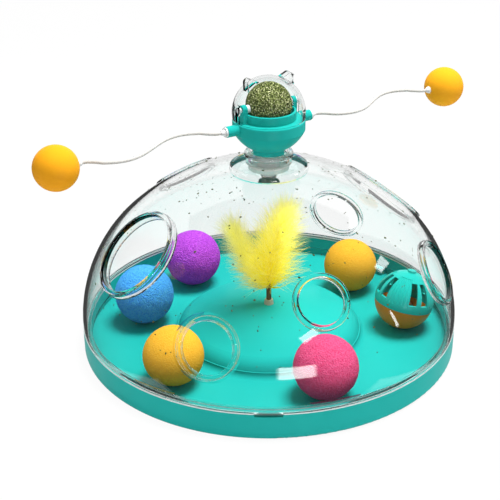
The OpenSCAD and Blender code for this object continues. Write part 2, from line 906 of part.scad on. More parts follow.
module bell_pellet() {
  color("silver") in_bell_ball() translate([0, 0, pellet_rest_z]) sphere(d = pellet_d);
}

base_tray();
foot_pads();
feather_holder();
feather_stem();
plume_left();
plume_right();
dome_shell();
bearing_cup();
head_bowl();
head_spindle();
spindle_cap();
arm_plug_left();
arm_plug_right();
arm_wire_left();
arm_wire_right();
ball_ferrule_left();
ball_ferrule_right();
arm_ball_left();
arm_ball_right();
catnip_ball();
catnip_axle();
cat_ear_cover();
foam_ball_purple();
foam_ball_blue();
foam_ball_pink();
smooth_ball_back();
smooth_ball_front();
bell_cage_upper();
bell_cage_lower();
jingle_bell();
bell_pellet();
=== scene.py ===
import math

import bmesh
import bpy
from mathutils import Matrix, Vector, noise


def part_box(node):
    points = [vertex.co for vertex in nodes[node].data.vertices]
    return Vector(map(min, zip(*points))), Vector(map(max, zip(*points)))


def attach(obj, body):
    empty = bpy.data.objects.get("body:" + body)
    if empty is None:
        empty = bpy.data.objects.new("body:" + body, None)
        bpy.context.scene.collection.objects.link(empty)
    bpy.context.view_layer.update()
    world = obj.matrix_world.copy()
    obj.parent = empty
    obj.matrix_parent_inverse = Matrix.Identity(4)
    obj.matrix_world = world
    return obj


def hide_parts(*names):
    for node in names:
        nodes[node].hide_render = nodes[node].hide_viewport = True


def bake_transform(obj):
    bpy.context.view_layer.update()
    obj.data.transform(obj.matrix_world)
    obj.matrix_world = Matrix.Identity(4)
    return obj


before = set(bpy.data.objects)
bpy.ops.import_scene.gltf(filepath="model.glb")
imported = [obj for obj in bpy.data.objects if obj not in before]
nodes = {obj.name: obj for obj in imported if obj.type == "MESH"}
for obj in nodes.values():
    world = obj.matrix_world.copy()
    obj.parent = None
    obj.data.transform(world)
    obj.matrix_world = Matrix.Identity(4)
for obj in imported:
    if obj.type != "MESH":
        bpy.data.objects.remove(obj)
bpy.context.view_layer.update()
scene = bpy.context.scene
scene.view_settings.view_transform = "Standard"

# Camera: a long lens a little above the dome, as in the photograph. The frame is
# shifted because the object stands a little left of and below the picture's middle.
camera_data = bpy.data.cameras.new("camera")
camera_data.lens = 79.2
camera_data.sensor_width = 36.0
camera_data.shift_x = -0.0376
camera_data.shift_y = -0.0112
camera_data.clip_start = 0.05
camera = bpy.data.objects.new("camera", camera_data)
scene.collection.objects.link(camera)
aim = Vector((0.0, 0.0, 0.070))
camera.location = Vector((0.0, -0.6815, 0.3995))
camera.rotation_euler = (aim - camera.location).to_track_quat("-Z", "Y").to_euler()
scene.camera = camera

# Studio: white paper and air that the camera, mirrors and glass see as plain white, and one
# softbox overhead, a little to the right. Small window panes are seen by reflections alone,
# as the bright marks on the dome in the photograph.
def add_lamp(name, place, target, size, watts, roll=0.0):
    lamp = bpy.data.lights.new(name, "AREA")
    lamp.shape = "RECTANGLE"
    lamp.size, lamp.size_y = size
    lamp.energy = watts
    lamp_object = bpy.data.objects.new(name, lamp)
    lamp_object.location = place
    facing = (Vector(target) - Vector(place)).to_track_quat("-Z", "Y").to_matrix()
    lamp_object.rotation_euler = (facing @ Matrix.Rotation(roll, 3, "Z")).to_euler()
    lamp_object.visible_camera = False
    scene.collection.objects.link(lamp_object)
    return lamp_object


def add_window(name, place, target, size, glow, roll=0.0):
    """Bright pane with soft edges that shows only as a reflection, as a window does on a dome."""
    pane = add_lamp(name, place, target, size, math.pi * size[0] * size[1], roll)
    pane.visible_diffuse = False
    pane.visible_transmission = False
    pane.data.use_nodes = True
    tree_nodes, link = pane.data.node_tree.nodes, pane.data.node_tree.links.new
    across = tree_nodes.new("ShaderNodeSeparateXYZ")
    link(tree_nodes.new("ShaderNodeNewGeometry").outputs["Parametric"], across.inputs[0])
    total = None
    for label in ("X", "Y"):
        inside = tree_nodes.new("ShaderNodeMath")
        inside.operation = "PINGPONG"
        inside.inputs[1].default_value = 0.5
        link(across.outputs[label], inside.inputs[0])
        fade = tree_nodes.new("ShaderNodeMapRange")
        fade.interpolation_type = "SMOOTHSTEP"
        fade.inputs["From Max"].default_value = 0.16
        fade.inputs["To Max"].default_value = glow if total is None else 1.0
        link(inside.outputs[0], fade.inputs["Value"])
        if total is None:
            total = fade.outputs["Result"]
        else:
            both = tree_nodes.new("ShaderNodeMath")
            both.operation = "MULTIPLY"
            link(total, both.inputs[0])
            link(fade.outputs["Result"], both.inputs[1])
            total = both.outputs[0]
    link(total, tree_nodes["Emission"].inputs["Strength"])


key = add_lamp("key_softbox", (0.31, 0.08, 1.54), (0.0, 0.0, 0.03), (0.6, 0.6), 33.0)
key.visible_glossy = False
key.visible_transmission = False
add_window("front_window", (0.108, -0.452, 0.040), (0.017, -0.124, 0.045), (0.175, 0.073), 18.0)
add_window("front_high_window", (0.158, -0.399, 0.213), (0.024, -0.115, 0.065), (0.092, 0.045), 15.0,
           math.radians(29))
add_window("side_window", (0.345, 0.0, 0.291), (0.070, -0.070, 0.090), (0.080, 0.045), 13.0,
           math.radians(-20))
add_window("side_strip", (0.415, -0.141, 0.128), (0.077, -0.091, 0.063), (0.015, 0.090), 16.0)

world = bpy.data.worlds.new("studio_white")
scene.world = world
world.use_nodes = True
sky = world.node_tree.nodes
sky.clear()
sky_link = world.node_tree.links.new


def seen_plainly(tree_nodes, link):
    """1 on rays that show the backdrop itself: from the camera, off a mirror or through glass."""
    rays = tree_nodes.new("ShaderNodeLightPath")
    total = rays.outputs["Is Camera Ray"]
    for label in ("Is Glossy Ray", "Is Transmission Ray"):
        larger = tree_nodes.new("ShaderNodeMath")
        larger.operation = "MAXIMUM"
        link(total, larger.inputs[0])
        link(rays.outputs[label], larger.inputs[1])
        total = larger.outputs[0]
    return total


sky_fill = sky.new("ShaderNodeBackground")
sky_fill.inputs["Color"].default_value = (1.0, 1.0, 1.0, 1.0)
sky_fill.inputs["Strength"].default_value = 0.46
sky_white = sky.new("ShaderNodeBackground")
sky_white.inputs["Color"].default_value = (1.0, 1.0, 1.0, 1.0)
sky_white.inputs["Strength"].default_value = 1.0
sky_mix = sky.new("ShaderNodeMixShader")
sky_link(seen_plainly(sky, sky_link), sky_mix.inputs[0])
sky_link(sky_fill.outputs[0], sky_mix.inputs[1])
sky_link(sky_white.outputs[0], sky_mix.inputs[2])
sky_link(sky_mix.outputs[0], sky.new("ShaderNodeOutputWorld").inputs["Surface"])

floor_mesh = bpy.data.meshes.new("studio_floor")
floor_mesh.from_pydata([(-4, -4, 0), (4, -4, 0), (4, 4, 0), (-4, 4, 0)], [], [(0, 1, 2, 3)])
floor = bpy.data.objects.new("studio_floor", floor_mesh)
scene.collection.objects.link(floor)
floor_paper = bpy.data.materials.new("white_paper")
floor_paper.use_nodes = True
paper_nodes = floor_paper.node_tree.nodes
paper_nodes["Principled BSDF"].inputs["Roughness"].default_value = 0.9
paper_glow = paper_nodes.new("ShaderNodeEmission")
paper_glow.inputs["Strength"].default_value = 1.0
paper_mix = paper_nodes.new("ShaderNodeMixShader")
paper_share = paper_nodes.new("ShaderNodeMath")
paper_share.operation = "MULTIPLY"
paper_share.inputs[1].default_value = 0.95
paper_link = floor_paper.node_tree.links.new
paper_link(seen_plainly(paper_nodes, paper_link), paper_share.inputs[0])
paper_tone = paper_nodes.new("ShaderNodeMix")
paper_tone.data_type = "RGBA"
paper_tone.inputs[6].default_value = (0.86, 0.86, 0.86, 1.0)
paper_tone.inputs[7].default_value = (0.7, 0.7, 0.7, 1.0)
paper_link(paper_nodes.new("ShaderNodeLightPath").outputs["Is Diffuse Ray"], paper_tone.inputs["Factor"])
paper_link(paper_tone.outputs[2], paper_nodes["Principled BSDF"].inputs["Base Color"])
paper_link(paper_share.outputs[0], paper_mix.inputs[0])
paper_link(paper_nodes["Principled BSDF"].outputs[0], paper_mix.inputs[1])
paper_link(paper_glow.outputs[0], paper_mix.inputs[2])
paper_link(paper_mix.outputs[0], paper_nodes["Material Output"].inputs["Surface"])
floor_mesh.materials.append(floor_paper)


# Black cloth: sheets round the camera's side of the table and over it, seen by reflections and
# bent light alone, so that no white veil lies on the dome and its edges show dark.
def black_sheets(name, corners, open_to_view):
    """Black cloth for what reflections and bent light see; an open one is clear to straight looks."""
    mesh = bpy.data.meshes.new(name)
    mesh.from_pydata([corner for sheet in corners for corner in sheet], [],
                     [tuple(range(4 * i, 4 * i + 4)) for i in range(len(corners))])
    cloth = bpy.data.materials.new(name + "_cloth")
    cloth.use_nodes = True
    tree_nodes, link = cloth.node_tree.nodes, cloth.node_tree.links.new
    skin = tree_nodes["Principled BSDF"]
    skin.inputs["Base Color"].default_value = (0.04, 0.04, 0.04, 1.0)
    skin.inputs["Roughness"].default_value = 1.0
    skin.inputs["Specular IOR Level"].default_value = 0.0
    if open_to_view:
        rays = tree_nodes.new("ShaderNodeLightPath")
        mirrored = tree_nodes.new("ShaderNodeMath")
        mirrored.operation = "GREATER_THAN"
        mirrored.inputs[1].default_value = 0.5
        link(rays.outputs["Glossy Depth"], mirrored.inputs[0])
        mix = tree_nodes.new("ShaderNodeMixShader")
        link(mirrored.outputs[0], mix.inputs[0])
        link(tree_nodes.new("ShaderNodeBsdfTransparent").outputs[0], mix.inputs[1])
        link(skin.outputs[0], mix.inputs[2])
        link(mix.outputs[0], tree_nodes["Material Output"].inputs["Surface"])
    mesh.materials.append(cloth)
    sheets = bpy.data.objects.new(name, mesh)
    sheets.visible_camera = False
    sheets.visible_diffuse = False
    sheets.visible_shadow = False
    scene.collection.objects.link(sheets)


def walls(low, high):
    """Corners of the sheets at both sides and behind the camera, between two heights."""
    return [[(-side, front, low), (side, front, low), (side, front, high), (-side, front, high)],
            [(-side, front, low), (-side, wall_end, low), (-side, wall_end, high), (-side, front, high)],
            [(side, front, low), (side, wall_end, low), (side, wall_end, high), (side, front, high)]]


side, front, back, wall_end = 1.0, -1.1, 0.9, 0.55
ground, eye_level, ceiling = 0.0005, 0.4, 1.4
gap = 0.14
black_sheets("black_floor", [
    [(-side, front, ground), (side, front, ground), (side, -gap, ground), (-side, -gap, ground)],
    [(-side, -gap, ground), (-gap, -gap, ground), (-gap, back, ground), (-side, back, ground)],
    [(gap, -gap, ground), (side, -gap, ground), (side, wall_end, ground), (gap, wall_end, ground)]], True)
black_sheets("black_low_walls", walls(ground, eye_level), True)
black_sheets("black_high_walls", walls(eye_level, ceiling), False)
black_sheets("black_ceiling", [
    [(-side, front, ceiling), (side, front, ceiling), (side, back, ceiling), (-side, back, ceiling)]], False)


# Tray: one injection-moulded piece of glossy turquoise plastic, with a round wall, a
# smooth island in the middle and small seat tabs that the dome's skirt stands on.
def make_group(name, outputs, inputs):
    """New shader group with named value inputs and outputs; returns it with its end nodes."""
    group = bpy.data.node_groups.new(name, "ShaderNodeTree")
    for label, default in inputs:
        item = group.interface.new_socket(label, in_out="INPUT", socket_type="NodeSocketFloat")
        item.default_value = default
    for label, kind in outputs:
        group.interface.new_socket(label, in_out="OUTPUT", socket_type=kind)
    return group, group.nodes.new("NodeGroupInput"), group.nodes.new("NodeGroupOutput")


def moulded_skin_group():
    """Slow tone drift and the fine orange peel of a moulded skin."""
    group, start, end = make_group(
        "moulded_skin",
        [("Tone", "NodeSocketFloat"), ("Height", "NodeSocketFloat")],
        [("Drift Scale", 18.0), ("Peel Scale", 900.0)])
    link = group.links.new
    place = group.nodes.new("ShaderNodeTexCoord")
    drift = group.nodes.new("ShaderNodeTexNoise")
    drift.inputs["Detail"].default_value = 3.0
    peel = group.nodes.new("ShaderNodeTexNoise")
    peel.inputs["Detail"].default_value = 2.0
    link(place.outputs["Object"], drift.inputs["Vector"])
    link(place.outputs["Object"], peel.inputs["Vector"])
    link(start.outputs["Drift Scale"], drift.inputs["Scale"])
    link(start.outputs["Peel Scale"], peel.inputs["Scale"])
    link(drift.outputs["Fac"], end.inputs["Tone"])
    link(peel.outputs["Fac"], end.inputs["Height"])
    return group


moulded_skin = moulded_skin_group()


def new_material(name):
    """New material, with its nodes, its linking call and its main shader."""
    material = bpy.data.materials.new(name)
    material.use_nodes = True
    tree = material.node_tree
    return material, tree.nodes, tree.links.new, tree.nodes["Principled BSDF"]


def tone_ramp(tree_nodes, link, tone, low, high, socket):
    """Colours a surface between two paints by a tone that drifts over it."""
    ramp = tree_nodes.new("ShaderNodeValToRGB")
    ramp.color_ramp.elements[0].position, ramp.color_ramp.elements[0].color = 0.3, (*low, 1.0)
    ramp.color_ramp.elements[1].position, ramp.color_ramp.elements[1].color = 0.7, (*high, 1.0)
    link(tone, ramp.inputs["Fac"])
    link(ramp.outputs["Color"], socket)


def rough_range(tree_nodes, link, tone, low, high, socket):
    """Lets a surface drift between two roughnesses by the same tone."""
    span = tree_nodes.new("ShaderNodeMapRange")
    span.inputs["From Min"].default_value = 0.3
    span.inputs["From Max"].default_value = 0.7
    span.inputs["To Min"].default_value = low
    span.inputs["To Max"].default_value = high
    link(tone, span.inputs["Value"])
    link(span.outputs["Result"], socket)


def add_bump(tree_nodes, link, height, socket, strength, distance):
    """Turns a height pattern into a fine relief of the given depth."""
    bump = tree_nodes.new("ShaderNodeBump")
    bump.inputs["Strength"].default_value = strength
    bump.inputs["Distance"].default_value = distance
    link(height, bump.inputs["Height"])
    link(bump.outputs["Normal"], socket)


def moulded_plastic(name, low, high, rough, shine=0.05, peel=900.0, dent=0.06):
    """Solid coloured plastic from a polished mould."""
    material, tree_nodes, link, skin = new_material(name)
    grain = tree_nodes.new("ShaderNodeGroup")
    grain.node_tree = moulded_skin
    grain.inputs["Peel Scale"].default_value = peel
    tone_ramp(tree_nodes, link, grain.outputs["Tone"], low, high, skin.inputs["Base Color"])
    rough_range(tree_nodes, link, grain.outputs["Tone"], rough, rough + 0.08, skin.inputs["Roughness"])
    add_bump(tree_nodes, link, grain.outputs["Height"], skin.inputs["Normal"], dent, 0.0003)
    skin.inputs["Specular IOR Level"].default_value = shine
    return material


def dress(node, material):
    """Gives a carried-over CAD part its finish."""
    mesh = nodes[node].data
    mesh.materials.clear()
    mesh.materials.append(material)


def calm_bounce(material, dim, share):
    """Less coloured light thrown onto the neighbours: other surfaces see a duller tone of it."""
    tree_nodes, link = material.node_tree.nodes, material.node_tree.links.new
    colour_in = tree_nodes["Principled BSDF"].inputs["Base Color"]
    own = colour_in.links[0].from_socket
    rays = tree_nodes.new("ShaderNodeLightPath")
    part = tree_nodes.new("ShaderNodeMath")
    part.operation = "MULTIPLY"
    part.inputs[1].default_value = share
    link(rays.outputs["Is Diffuse Ray"], part.inputs[0])
    blend = tree_nodes.new("ShaderNodeMix")
    blend.data_type = "RGBA"
    link(part.outputs[0], blend.inputs["Factor"])
    link(own, blend.inputs[6])
    blend.inputs[7].default_value = (*dim, 1.0)
    link(blend.outputs[2], colour_in)


tray_turquoise = moulded_plastic("tray_turquoise", (0.015, 0.475, 0.43), (0.021, 0.515, 0.466), 0.35)
calm_bounce(tray_turquoise, (0.10, 0.17, 0.16), 0.75)
dress("base_tray", tray_turquoise)

# Foot pads: round pads of dark rubber that keep the tray from sliding.
# They are die-cut from sheet and glued in shallow pockets under the tray.
pad_rubber = moulded_plastic("pad_rubber", (0.02, 0.02, 0.02), (0.035, 0.035, 0.035), 0.7,
                             peel=1500.0, dent=0.3)
dress("foot_pads", pad_rubber)

# Feather: a cream holder pushed into the island, a brown stem, and two plumes of loose
# yellow barbs. Each barb is a thin curled ribbon that grows from a bent shaft.
holder_cream = moulded_plastic("holder_cream", (0.55, 0.62, 0.45), (0.62, 0.68, 0.52), 0.35)
dress("feather_holder", holder_cream)


def quill_material():
    """Brown horn with darker streaks along the stem."""
    material, tree_nodes, link, skin = new_material("quill_brown")
    place = tree_nodes.new("ShaderNodeTexCoord")
    stretch = tree_nodes.new("ShaderNodeMapping")
    stretch.inputs["Scale"].default_value = (900.0, 900.0, 60.0)
    streak = tree_nodes.new("ShaderNodeTexNoise")
    streak.inputs["Scale"].default_value = 1.0
    link(place.outputs["Object"], stretch.inputs["Vector"])
    link(stretch.outputs["Vector"], streak.inputs["Vector"])
    tone_ramp(tree_nodes, link, streak.outputs["Fac"],
              (0.10, 0.035, 0.008), (0.24, 0.10, 0.03), skin.inputs["Base Color"])
    skin.inputs["Roughness"].default_value = 0.45
    return material


dress("feather_stem", quill_material())


def barb_material():
    """Soft yellow barbs, paler and thinner towards their tips, with light coming through and a faint painted
    glow.
    """
    material, tree_nodes, link, skin = new_material("plume_barbs")
    along = tree_nodes.new("ShaderNodeAttribute")
    along.attribute_name = "along"
    ramp = tree_nodes.new("ShaderNodeValToRGB")
    ramp.color_ramp.elements[0].color = (0.95, 0.87, 0.006, 1.0)
    ramp.color_ramp.elements[1].color = (1.0, 0.99, 0.50, 1.0)
    tint = tree_nodes.new("ShaderNodeAttribute")
    tint.attribute_name = "tint"
    paler = tree_nodes.new("ShaderNodeMath")
    paler.operation = "MULTIPLY_ADD"
    paler.inputs[1].default_value = 0.5
    link(along.outputs["Fac"], paler.inputs[0])
    link(tint.outputs["Fac"], paler.inputs[2])
    link(paler.outputs[0], ramp.inputs["Fac"])
    link(ramp.outputs["Color"], skin.inputs["Base Color"])
    skin.inputs["Roughness"].default_value = 0.7
    skin.inputs["Specular IOR Level"].default_value = 0.05
    # Painted light: the barbs glow faintly in their own colour, in place of the light scattered among them.
    link(ramp.outputs["Color"], skin.inputs["Emission Color"])
    skin.inputs["Emission Strength"].default_value = 0.18
    leak = tree_nodes.new("ShaderNodeBsdfTranslucent")
    link(ramp.outputs["Color"], leak.inputs["Color"])
    mix = tree_nodes.new("ShaderNodeMixShader")
    mix.inputs[0].default_value = 0.5
    link(skin.outputs[0], mix.inputs[1])
    link(leak.outputs[0], mix.inputs[2])
    rays = tree_nodes.new("ShaderNodeLightPath")
    thin = tree_nodes.new("ShaderNodeMath")
    thin.operation = "MULTIPLY"
    thin.inputs[1].default_value = 0.99
    link(rays.outputs["Is Shadow Ray"], thin.inputs[0])
    open_air = tree_nodes.new("ShaderNodeBsdfTransparent")
    between = tree_nodes.new("ShaderNodeMixShader")
    link(thin.outputs[0], between.inputs[0])
    link(mix.outputs[0], between.inputs[1])
    link(open_air.outputs[0], between.inputs[2])
    link(between.outputs[0], tree_nodes["Material Output"].inputs["Surface"])
    return material


plume_barbs = barb_material()


class NodeTree:
    """Small helper that writes a Geometry Nodes tree with named inputs."""

    def __init__(self, name, inputs):
        self.tree = bpy.data.node_groups.new(name, "GeometryNodeTree")
        self.tree.interface.new_socket("Geometry", in_out="INPUT", socket_type="NodeSocketGeometry")
        self.names = {}
        for label, kind in inputs:
            item = self.tree.interface.new_socket(label, in_out="INPUT", socket_type=kind)
            self.names[label] = item.identifier
        self.tree.interface.new_socket("Geometry", in_out="OUTPUT", socket_type="NodeSocketGeometry")
        self.start = self.tree.nodes.new("NodeGroupInput")
        self.end = self.tree.nodes.new("NodeGroupOutput")

    def add(self, kind, settings=None, **values):
        made = self.tree.nodes.new(kind)
        for key, value in (settings or {}).items():
            setattr(made, key, value)
        for key, value in values.items():
            by_number = key[0] == "i" and key[1:].isdigit()
            socket = made.inputs[int(key[1:]) if by_number else key.replace("_", " ")]
            if isinstance(value, bpy.types.NodeSocket):
                self.tree.links.new(value, socket)
            else:
                socket.default_value = value
        return made

    def value(self, label):
        return self.start.outputs[label]

    def chance(self, low, high, step):
        """A value drawn by chance for each copy, with the tree's seed moved on by a step."""
        seed = self.math("ADD", self.value("Seed"), step)
        drawn = self.add("FunctionNodeRandomValue", {"data_type": "FLOAT"}, i2=low, i3=high, i8=seed)
        return drawn.outputs[1]

    def wild(self, spread):
        """A direction drawn by chance for each copy."""
        drawn = self.add("FunctionNodeRandomValue", {"data_type": "FLOAT_VECTOR"}, i0=(-spread,) * 3,
                         i1=(spread,) * 3, i8=self.value("Seed"))
        return drawn.outputs[0]

    def spun(self, rotation, angle):
        """A rotation followed by a turn about the copy's own upright."""
        spin = self.add("FunctionNodeAxisAngleToRotation", Axis=(0, 0, 1), Angle=angle)
        return self.add("FunctionNodeRotateRotation", {"rotation_space": "LOCAL"},
                        Rotation=rotation, i1=spin.outputs[0]).outputs[0]

    def tagged(self, geometry, label, value):
        """Copies that carry a value of their own for the material to read."""
        return self.add("GeometryNodeStoreNamedAttribute", {"data_type": "FLOAT", "domain": "INSTANCE"},
                        Geometry=geometry, Name=label, Value=value).outputs[0]

    def math(self, operation, a, b=0.0):
        return self.add("ShaderNodeMath", {"operation": operation}, i0=a, i1=b).outputs[0]

    def vector(self, operation, a, b=None):
        made = self.add("ShaderNodeVectorMath", {"operation": operation}, i0=a)
        if b is not None:
            socket = made.inputs["Scale"] if operation == "SCALE" else made.inputs[1]
            if isinstance(b, bpy.types.NodeSocket):
                self.tree.links.new(b, socket)
            else:
                socket.default_value = b
        return made.outputs[0]

    def finish(self, geometry, material_label):
        solid = self.add("GeometryNodeRealizeInstances", Geometry=geometry)
        painted = self.add("GeometryNodeSetMaterial", Geometry=solid.outputs[0],
                           Material=self.value(material_label))
        self.tree.links.new(painted.outputs[0], self.end.inputs[0])

    def grow(self, name, source, **values):
        """Runs the tree on a source mesh and returns the result as a plain mesh object."""
        modifier = source.modifiers.new(name, "NODES")
        modifier.node_group = self.tree
        for key, value in values.items():
            modifier[self.names[key.replace("_", " ")]] = value
        graph = bpy.context.evaluated_depsgraph_get()
        grown = source.evaluated_get(graph)
        mesh = bpy.data.meshes.new_from_object(grown, preserve_all_data_layers=True, depsgraph=graph)
        mesh.name = name
        bpy.data.objects.remove(source)
        piece = bpy.data.objects.new(name, mesh)
        scene.collection.objects.link(piece)
        return piece


def mesh_object(name, points, edges=(), faces=()):
    mesh = bpy.data.meshes.new(name)
    mesh.from_pydata([tuple(p) for p in points], list(edges), list(faces))
    made = bpy.data.objects.new(name, mesh)
    scene.collection.objects.link(made)
    return made


def path_object(name, points):
    return mesh_object(name, points, [(i, i + 1) for i in range(len(points) - 1)])


def barb_ribbon(length, width, curl, wave, steps):
    """Unit barb: a tapering ribbon along +Z that curls and waves, with its place along stored."""
    points, faces = [], []
    for i in range(steps + 1):
        t = i / steps
        half = width * (1.0 - 0.8 * t) / 2
        x = curl * t * t
        y = wave * math.sin(5.0 * t)
        points += [(x, y - half, length * t), (x, y + half, length * t)]
    for i in range(steps):
        a = 2 * i
        faces.append((a, a + 1, a + 3, a + 2))
    made = mesh_object("barb_ribbon", points, faces=faces)
    along = made.data.attributes.new("along", "FLOAT", "POINT")
    along.data.foreach_set("value", [(i // 2) / steps for i in range(len(points))])
    return made


def plume_tree():
    """Barbs round a shaft: each points outward and forward, with a length for foot, middle and tip."""
    t = NodeTree("barbed_plume", [
        ("Barb", "NodeSocketObject"), ("Count", "NodeSocketInt"), ("Foot Reach", "NodeSocketFloat"),
        ("Middle Reach", "NodeSocketFloat"), ("Tip Reach", "NodeSocketFloat"),
        ("Spread", "NodeSocketFloat"), ("Paleness", "NodeSocketFloat"), ("Seed", "NodeSocketInt"),
        ("Barb Material", "NodeSocketMaterial")])
    curve = t.add("GeometryNodeMeshToCurve", Mesh=t.value("Geometry"))
    points = t.add("GeometryNodeCurveToPoints", {"mode": "COUNT"}, Curve=curve.outputs[0],
                   Count=t.value("Count"))
    share = t.math("DIVIDE", t.add("GeometryNodeInputIndex").outputs[0], t.value("Count"))
    tangent = points.outputs["Tangent"]
    outward = t.vector("NORMALIZE", t.vector("CROSS_PRODUCT", t.wild(1.0), tangent))
    fan = t.math("SUBTRACT", 1.0, t.math("MULTIPLY", share, 0.55))
    lean = t.math("MULTIPLY", t.math("MULTIPLY", t.chance(0.15, 1.0, 1.0), fan), t.value("Spread"))
    heading = t.vector("ADD", tangent, t.vector("SCALE", outward, lean))
    aligned = t.add("FunctionNodeAlignRotationToVector", {"axis": "Z"}, Vector=heading)
    turned = t.spun(aligned.outputs[0], t.chance(0.0, 6.283, 7.0))
    lower = t.add("ShaderNodeMapRange", Value=share, From_Min=0.0, From_Max=0.4,
                  To_Min=t.value("Foot Reach"), To_Max=t.value("Middle Reach")).outputs[0]
    taper = t.math("SUBTRACT", t.value("Tip Reach"), t.value("Middle Reach"))
    upper = t.add("ShaderNodeMapRange", Value=share, From_Min=0.4, From_Max=1.0,
                  To_Min=0.0, To_Max=taper).outputs[0]
    size = t.math("MULTIPLY", t.math("ADD", lower, upper), t.chance(0.45, 1.0, 3.0))
    barb = t.add("GeometryNodeObjectInfo", Object=t.value("Barb"))
    placed = t.add("GeometryNodeInstanceOnPoints", Points=points.outputs[0],
                   Instance=barb.outputs["Geometry"], Rotation=turned, Scale=size)
    fading = t.math("ADD", t.math("MULTIPLY", share, 0.75), t.value("Paleness"))
    tint = t.math("ADD", fading, t.chance(-0.5, 0.25, 5.0))
    t.finish(t.tagged(placed.outputs[0], "tint", tint), "Barb Material")
    return t


barbed_plume = plume_tree()


stem_top = Vector((0.0, 0.0, 0.0365))
shaft_bow = -0.002


def bent_shaft(lean, length):
    """Centre line of a plume from the stem's top, leaning by an angle and bowed a little."""
    heading = Vector((math.sin(lean), 0.0, math.cos(lean)))
    across = Vector((math.cos(lean), 0.0, -math.sin(lean)))
    return [stem_top + heading * (length * t) + across * (shaft_bow * math.sin(math.pi * t))
            for t in (i / 20 for i in range(21))]


def add_plume(name, lean, length, reach, count, paleness, seed, node):
    """Grows one plume; reach holds the barbs' lengths at foot, middle and tip."""
    barb = barb_ribbon(1.0, 0.018, 0.30, 0.07, 6)
    shaft = path_object(name + "_shaft", bent_shaft(lean, length))
    piece = barbed_plume.grow(name, shaft, Barb=barb, Count=count, Foot_Reach=reach[0],
                              Middle_Reach=reach[1], Tip_Reach=reach[2], Spread=1.9,
                              Paleness=paleness, Seed=seed, Barb_Material=plume_barbs)
    bpy.data.objects.remove(barb)
    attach(piece, "feather")
    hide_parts(node)


left_reach = (0.022, 0.020, 0.019)
right_reach = (0.030, 0.030, 0.019)
add_plume("left_plume_barbs", math.radians(-29), 0.048, left_reach, 4200, 0.3, 11, "plume_left")
add_plume("right_plume_barbs", math.radians(11), 0.056, right_reach, 5200, 0.0, 23, "plume_right")


# Foam balls: closed-cell foam turned to a ball, matt and soft to the eye, with fine pores
# and a skin that is never quite even.
def foam_material(name, low, high, dent=0.8):
    """Matt foam with fine pores; dent is how deep they look."""
    material, tree_nodes, link, skin = new_material(name)
    place = tree_nodes.new("ShaderNodeTexCoord")
    pores = tree_nodes.new("ShaderNodeTexVoronoi")
    pores.inputs["Scale"].default_value = 1050.0
    lumps = tree_nodes.new("ShaderNodeTexNoise")
    lumps.inputs["Scale"].default_value = 1000.0
    lumps.inputs["Detail"].default_value = 3.0
    lumps.inputs["Roughness"].default_value = 0.7
    link(place.outputs["Object"], pores.inputs["Vector"])
    link(place.outputs["Object"], lumps.inputs["Vector"])
    height = tree_nodes.new("ShaderNodeMath")
    height.operation = "ADD"
    link(pores.outputs["Distance"], height.inputs[0])
    link(lumps.outputs["Fac"], height.inputs[1])
    tone_ramp(tree_nodes, link, lumps.outputs["Fac"], low, high, skin.inputs["Base Color"])
    add_bump(tree_nodes, link, height.outputs[0], skin.inputs["Normal"], dent, 0.0009)
    skin.inputs["Roughness"].default_value = 0.9
    skin.inputs["Specular IOR Level"].default_value = 0.05
    return material


def centre_of(node):
    """Middle of a node's box, and half of its height."""
    low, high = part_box(node)
    return (low + high) / 2, (high.z - low.z) / 2


def add_foam_ball(name, node, body, material, seed):
    """Ball whose surface wanders by a few tenths of a millimetre, as cut foam does."""
    centre, radius = centre_of(node)
    work = bmesh.new()
    bmesh.ops.create_icosphere(work, subdivisions=6, radius=radius - 0.0003)
    shift = Vector((seed * 3.7, seed * 1.3, seed * 2.1))
    for v in work.verts:
        way = v.co.normalized()
        dent = noise.noise(way * 5.0 + shift) * 0.00022 + noise.noise(way * 26.0 + shift) * 0.00010
        v.co = way * (v.co.length + min(0.0002, dent)) + centre
    for f in work.faces:
        f.smooth = True
    mesh = bpy.data.meshes.new(name)
    work.to_mesh(mesh)
    work.free()
    mesh.materials.append(material)
    piece = bpy.data.objects.new(name, mesh)
    scene.collection.objects.link(piece)
    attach(piece, body)
    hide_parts(node)


add_foam_ball("purple_foam", "foam_ball_purple", "purple_ball",
              foam_material("purple_foam", (0.34, 0.033, 0.57), (0.76, 0.14, 1.0)), 1)
add_foam_ball("blue_foam", "foam_ball_blue", "blue_ball",
              foam_material("blue_foam", (0.03, 0.26, 1.0), (0.14, 0.62, 1.0)), 2)
add_foam_ball("pink_foam", "foam_ball_pink", "pink_ball",
              foam_material("pink_foam", (0.86, 0.045, 0.17), (1.0, 0.17, 0.38)), 3)

# Smooth balls: two loose orange balls that roll among the foam ones. They are moulded from
# soft plastic, with a matt skin that has only a faint grain.
orange_ball = foam_material("orange_ball", (0.90, 0.42, 0.024), (1.0, 0.57, 0.06), 0.35)
dress("smooth_ball_back", orange_ball)
dress("smooth_ball_front", orange_ball)

# Bell ball: two plastic half shells snapped together, the upper one slotted and fluted,
# with a loose plated bell and its pellet inside.
cage_turquoise = moulded_plastic("cage_turquoise", (0.014, 0.52, 0.45), (0.02, 0.60, 0.52), 0.28, shine=0.2)
cage_orange = moulded_plastic("cage_orange", (0.68, 0.22, 0.014), (0.80, 0.30, 0.028), 0.35, shine=0.2)
dress("bell_cage_upper", cage_turquoise)
dress("bell_cage_lower", cage_orange)


def plated_metal(name, low, high, rough):
    """Thin plating over pressed metal, a little uneven in tone and shine."""
    material, tree_nodes, link, skin = new_material(name)
    grain = tree_nodes.new("ShaderNodeGroup")
    grain.node_tree = moulded_skin
    grain.inputs["Drift Scale"].default_value = 300.0
    tone_ramp(tree_nodes, link, grain.outputs["Tone"], low, high, skin.inputs["Base Color"])
    rough_range(tree_nodes, link, grain.outputs["Tone"], rough, rough + 0.15, skin.inputs["Roughness"])
    skin.inputs["Metallic"].default_value = 1.0
    return material


